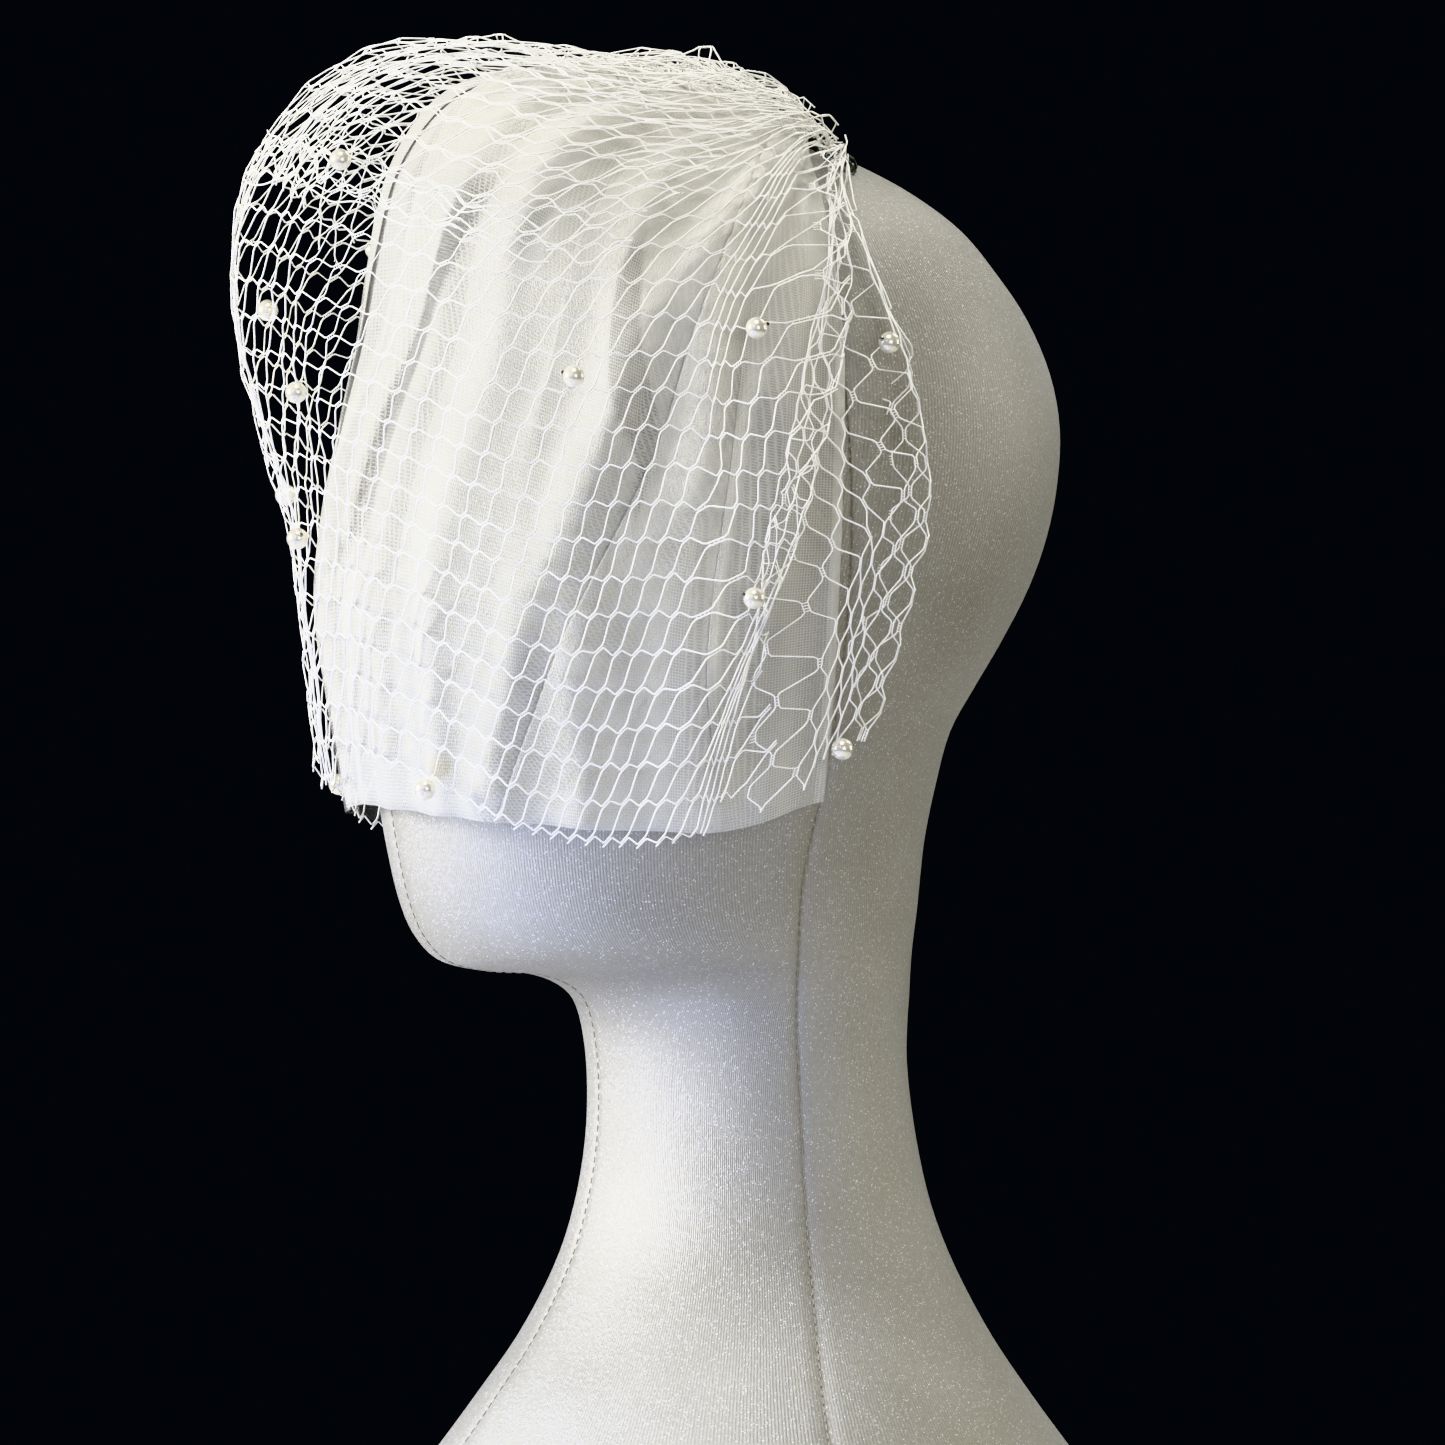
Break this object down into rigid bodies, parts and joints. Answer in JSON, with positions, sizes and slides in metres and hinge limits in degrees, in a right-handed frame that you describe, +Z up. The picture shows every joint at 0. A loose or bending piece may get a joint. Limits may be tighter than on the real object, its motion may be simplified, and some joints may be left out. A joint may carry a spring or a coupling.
{
  "type": "birdcage bridal veil on a display head",
  "caption": "Short birdcage bridal veil: open hexagonal netting with sewn pearls over a soft tulle blusher, gathered on a hair comb and set on a faceless long-necked display head.",
  "frame": {"origin": "middle of the flat underside of the display head's foot, where it rests", "axes": "+Z up from the foot to the crown; the head looks along -Y, with its left side at +X"},
  "size_m": [0.237, 0.2696, 0.4483],
  "materials": {
    "velvet": "silvery cream stretch velvet with a fine rib and sparkle",
    "tulle": "fine soft sheer tulle",
    "netting": "stiff open hexagonal netting in off-white thread",
    "comb_wire": "thread-wrapped wire comb",
    "pearl": "ivory pearl lustre"
  },
  "bodies": {
    "root": {"display_head": "velvet", "tulle_blusher": "tulle", "net_cage": "netting", "net_ruffle": "netting", "comb": "comb_wire", "pearl_01": "pearl", "pearl_02": "pearl", "pearl_03": "pearl", "pearl_04": "pearl", "pearl_05": "pearl", "pearl_06": "pearl", "pearl_07": "pearl", "pearl_08": "pearl", "pearl_09": "pearl", "pearl_10": "pearl", "pearl_11": "pearl", "pearl_12": "pearl", "pearl_13": "pearl", "pearl_14": "pearl", "pearl_15": "pearl", "pearl_16": "pearl"}
  },
  "joints": []
}
